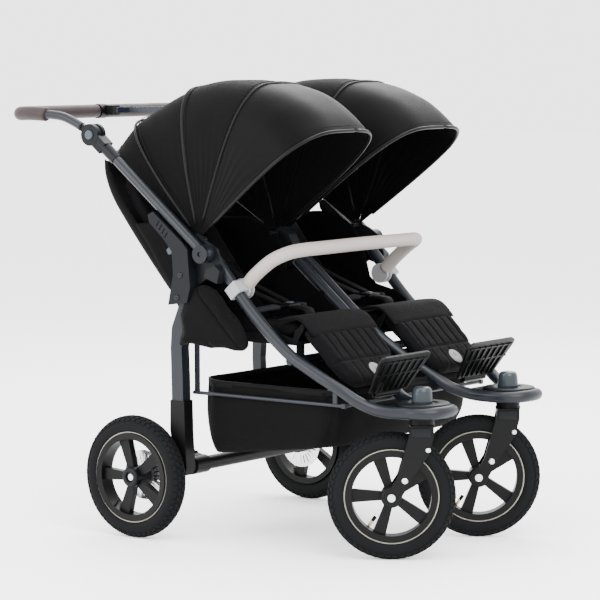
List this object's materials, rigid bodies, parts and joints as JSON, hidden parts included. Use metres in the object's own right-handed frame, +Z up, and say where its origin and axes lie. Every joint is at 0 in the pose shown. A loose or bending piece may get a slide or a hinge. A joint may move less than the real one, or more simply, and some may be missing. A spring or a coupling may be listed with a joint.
{
  "type": "twin pushchair",
  "caption": "Side-by-side twin all-terrain pushchair with swivelling front wheels, folding frame, padded seats, sectioned hoods, bumper bar and basket.",
  "frame": {"origin": "on the ground under the centre of the bounding box", "axes": "+X towards the pushchair's right-hand half as seen from behind the push bar (the pictured near side is -X), +Y from the front wheels towards the push bar, +Z up"},
  "size_m": [0.7588, 1.2443, 1.118],
  "materials": {
    "frame": "satin dark blue-grey powder coat",
    "black_plastic": "fine-grained black",
    "slate_plastic": "satin slate grey",
    "grey_plastic": "light grey",
    "steel": "zinc plated",
    "grip": "stitched dark brown cover",
    "lever": "glossy dark blue",
    "button": "satin blue-grey",
    "knob": "glossy slate",
    "tyre": "block tread with a pale reflective ring",
    "seat_fabric": "quilted black weave",
    "basket_fabric": "coarse black weave",
    "hood_fabric": "matte black weave",
    "visor_fabric": "smooth black with piping",
    "bar_foam": "matte greige foam"
  },
  "bodies": {
    "front_frame": {"frame_loop_left": "frame", "frame_loop_right": "frame", "caster_plates": "black_plastic", "fold_casings": "slate_plastic", "pivot_pins": "steel", "centre_joint": "slate_plastic", "front_crossbar": "frame", "seat_shells": "seat_fabric", "seat_pads": "seat_fabric", "basket": "basket_fabric", "basket_rails": "frame", "side_pouch": "basket_fabric", "bumper_clamps": "grey_plastic", "hood_rear_panels": "hood_fabric"},
    "pusher": {"pusher_tubes": "frame", "handle_joint_housings": "slate_plastic"},
    "push_bar": {"push_bar_frame": "frame", "push_bar_lugs": "slate_plastic", "push_bar_grips": "grip", "brake_bracket": "black_plastic"},
    "hand_brake": {"hand_brake_lever": "lever"},
    "rear_frame": {"rear_legs": "frame", "centre_leg": "frame", "leg_sleeves": "black_plastic", "rear_cross_bar": "black_plastic", "rear_axles": "steel", "brake_calipers": "black_plastic"},
    "brake_pedal": {"brake_pedal": "black_plastic"},
    "bumper": {"bumper_bar": "bar_foam"},
    "angle_button_left": {"angle_button_left": "button"},
    "fold_lever_left": {"fold_lever_left": "button"},
    "rear_wheel_left": {"rear_rim_left": "black_plastic", "rear_tyre_left": "tyre", "brake_disc_left": "steel"},
    "caster_left": {"caster_fork_left": "black_plastic", "caster_axle_left": "steel"},
    "front_wheel_left": {"front_rim_left": "black_plastic", "front_tyre_left": "tyre"},
    "swivel_knob_left": {"swivel_knob_left": "knob"},
    "backrest_left": {"backrest_left": "seat_fabric"},
    "hood_mid_left": {"hood_mid_panel_left": "hood_fabric"},
    "hood_visor_left": {"hood_visor_left": "visor_fabric"},
    "leg_rest_left": {"leg_rest_left": "seat_fabric"},
    "footrest_left": {"footrest_left": "black_plastic"},
    "angle_button_right": {"angle_button_right": "button"},
    "fold_lever_right": {"fold_lever_right": "button"},
    "rear_wheel_right": {"rear_rim_right": "black_plastic", "rear_tyre_right": "tyre", "brake_disc_right": "steel"},
    "caster_right": {"caster_fork_right": "black_plastic", "caster_axle_right": "steel"},
    "front_wheel_right": {"front_rim_right": "black_plastic", "front_tyre_right": "tyre"},
    "swivel_knob_right": {"swivel_knob_right": "knob"},
    "backrest_right": {"backrest_right": "seat_fabric"},
    "hood_mid_right": {"hood_mid_panel_right": "hood_fabric"},
    "hood_visor_right": {"hood_visor_right": "visor_fabric"},
    "leg_rest_right": {"leg_rest_right": "seat_fabric"},
    "footrest_right": {"footrest_right": "black_plastic"}
  },
  "joints": [
    {"name": "frame_fold", "type": "hinge", "parent": "front_frame", "child": "pusher", "pos_m": [0, -0.0195, 0.703], "axis": [1, 0, 0], "range_deg": [0, 142]},
    {"name": "rear_fold", "type": "hinge", "parent": "front_frame", "child": "rear_frame", "pos_m": [0, 0.0425, 0.632], "axis": [1, 0, 0], "range_deg": [-31.5, 0.5], "deforming": ["basket"]},
    {"name": "push_bar_angle", "type": "hinge", "parent": "pusher", "child": "push_bar", "pos_m": [0, 0.32653, 0.98121], "axis": [1, 0, 0], "range_deg": [-40, 60]},
    {"name": "hand_brake_pull", "type": "hinge", "parent": "push_bar", "child": "hand_brake", "pos_m": [0.02, 0.5725, 1.03], "axis": [0, 0, 1], "range_deg": [0, 8], "stiffness_Nm_per_rad": 1.5},
    {"name": "pedal_press", "type": "hinge", "parent": "rear_frame", "child": "brake_pedal", "pos_m": [-0.258, 0.0745, 0.178], "axis": [-1, 0, 0], "range_deg": [0, 25]},
    {"name": "bumper_tilt", "type": "hinge", "parent": "front_frame", "child": "bumper", "pos_m": [0, -0.0915, 0.619], "axis": [1, 0, 0], "range_deg": [-15, 25]},
    {"name": "angle_button_left_press", "type": "slide", "parent": "pusher", "child": "angle_button_left", "axis": [1, 0, 0], "range_m": [0, 0.004], "stiffness_N_per_m": 400, "springref_m": -0.002},
    {"name": "fold_lever_left_pull", "type": "hinge", "parent": "front_frame", "child": "fold_lever_left", "pos_m": [-0.348, 0.0605, 0.727], "axis": [-1, 0, 0], "range_deg": [0, 18], "stiffness_Nm_per_rad": 0.2, "springref_deg": -5.73},
    {"name": "rear_wheel_left_spin", "type": "hinge", "parent": "rear_frame", "child": "rear_wheel_left", "pos_m": [-0.355, 0.1925, 0.15], "axis": [1, 0, 0], "continuous": true},
    {"name": "caster_left_swivel", "type": "hinge", "parent": "front_frame", "child": "caster_left", "pos_m": [-0.186, -0.5375, 0.33], "axis": [0, 0, 1], "continuous": true},
    {"name": "front_wheel_left_spin", "type": "hinge", "parent": "caster_left", "child": "front_wheel_left", "pos_m": [-0.22621, -0.47899, 0.15], "axis": [0.8241, 0.5664, 0], "continuous": true},
    {"name": "swivel_knob_left_lift", "type": "slide", "parent": "front_frame", "child": "swivel_knob_left", "axis": [0, 0, 1], "range_m": [0, 0.008], "stiffness_N_per_m": 200, "springref_m": -0.003},
    {"name": "backrest_left_recline", "type": "hinge", "parent": "front_frame", "child": "backrest_left", "pos_m": [-0.166, 0.0025, 0.52], "axis": [1, 0, 0], "range_deg": [-40, 10]},
    {"name": "hood_left_fold", "type": "hinge", "parent": "front_frame", "child": "hood_visor_left", "pos_m": [-0.172, 0.0125, 0.735], "axis": [-1, 0, 0], "range_deg": [0, 58]},
    {"name": "hood_mid_left_fold", "type": "hinge", "parent": "front_frame", "child": "hood_mid_left", "pos_m": [-0.172, 0.0125, 0.735], "axis": [-1, 0, 0], "range_deg": [-0.5, 26.5]},
    {"name": "leg_rest_left_lift", "type": "hinge", "parent": "front_frame", "child": "leg_rest_left", "pos_m": [-0.166, -0.2725, 0.54], "axis": [-1, 0, 0], "range_deg": [0, 45]},
    {"name": "footrest_left_tilt", "type": "hinge", "parent": "leg_rest_left", "child": "footrest_left", "pos_m": [-0.186, -0.4355, 0.384], "axis": [-1, 0, 0], "range_deg": [0, 55]},
    {"name": "angle_button_right_press", "type": "slide", "parent": "pusher", "child": "angle_button_right", "axis": [-1, 0, 0], "range_m": [0, 0.004], "stiffness_N_per_m": 400, "springref_m": -0.002},
    {"name": "fold_lever_right_pull", "type": "hinge", "parent": "front_frame", "child": "fold_lever_right", "pos_m": [0.348, 0.0605, 0.727], "axis": [-1, 0, 0], "range_deg": [0, 18], "stiffness_Nm_per_rad": 0.2, "springref_deg": -5.73},
    {"name": "rear_wheel_right_spin", "type": "hinge", "parent": "rear_frame", "child": "rear_wheel_right", "pos_m": [0.355, 0.1925, 0.15], "axis": [1, 0, 0], "continuous": true},
    {"name": "caster_right_swivel", "type": "hinge", "parent": "front_frame", "child": "caster_right", "pos_m": [0.186, -0.5375, 0.33], "axis": [0, 0, 1], "continuous": true},
    {"name": "front_wheel_right_spin", "type": "hinge", "parent": "caster_right", "child": "front_wheel_right", "pos_m": [0.14578, -0.47899, 0.15], "axis": [0.8241, 0.5664, 0], "continuous": true},
    {"name": "swivel_knob_right_lift", "type": "slide", "parent": "front_frame", "child": "swivel_knob_right", "axis": [0, 0, 1], "range_m": [0, 0.008], "stiffness_N_per_m": 200, "springref_m": -0.003},
    {"name": "backrest_right_recline", "type": "hinge", "parent": "front_frame", "child": "backrest_right", "pos_m": [0.166, 0.0025, 0.52], "axis": [1, 0, 0], "range_deg": [-40, 10]},
    {"name": "hood_right_fold", "type": "hinge", "parent": "front_frame", "child": "hood_visor_right", "pos_m": [0.172, 0.0125, 0.735], "axis": [-1, 0, 0], "range_deg": [0, 58]},
    {"name": "hood_mid_right_fold", "type": "hinge", "parent": "front_frame", "child": "hood_mid_right", "pos_m": [0.172, 0.0125, 0.735], "axis": [-1, 0, 0], "range_deg": [-0.5, 26.5]},
    {"name": "leg_rest_right_lift", "type": "hinge", "parent": "front_frame", "child": "leg_rest_right", "pos_m": [0.166, -0.2725, 0.54], "axis": [-1, 0, 0], "range_deg": [0, 45]},
    {"name": "footrest_right_tilt", "type": "hinge", "parent": "leg_rest_right", "child": "footrest_right", "pos_m": [0.186, -0.4355, 0.384], "axis": [-1, 0, 0], "range_deg": [0, 55]}
  ],
  "couplings": [
    {"joint": "rear_fold", "follows": "frame_fold", "ratio": -0.21831},
    {"joint": "hood_mid_left_fold", "follows": "hood_left_fold", "ratio": 0.448},
    {"joint": "hood_mid_right_fold", "follows": "hood_right_fold", "ratio": 0.448}
  ]
}
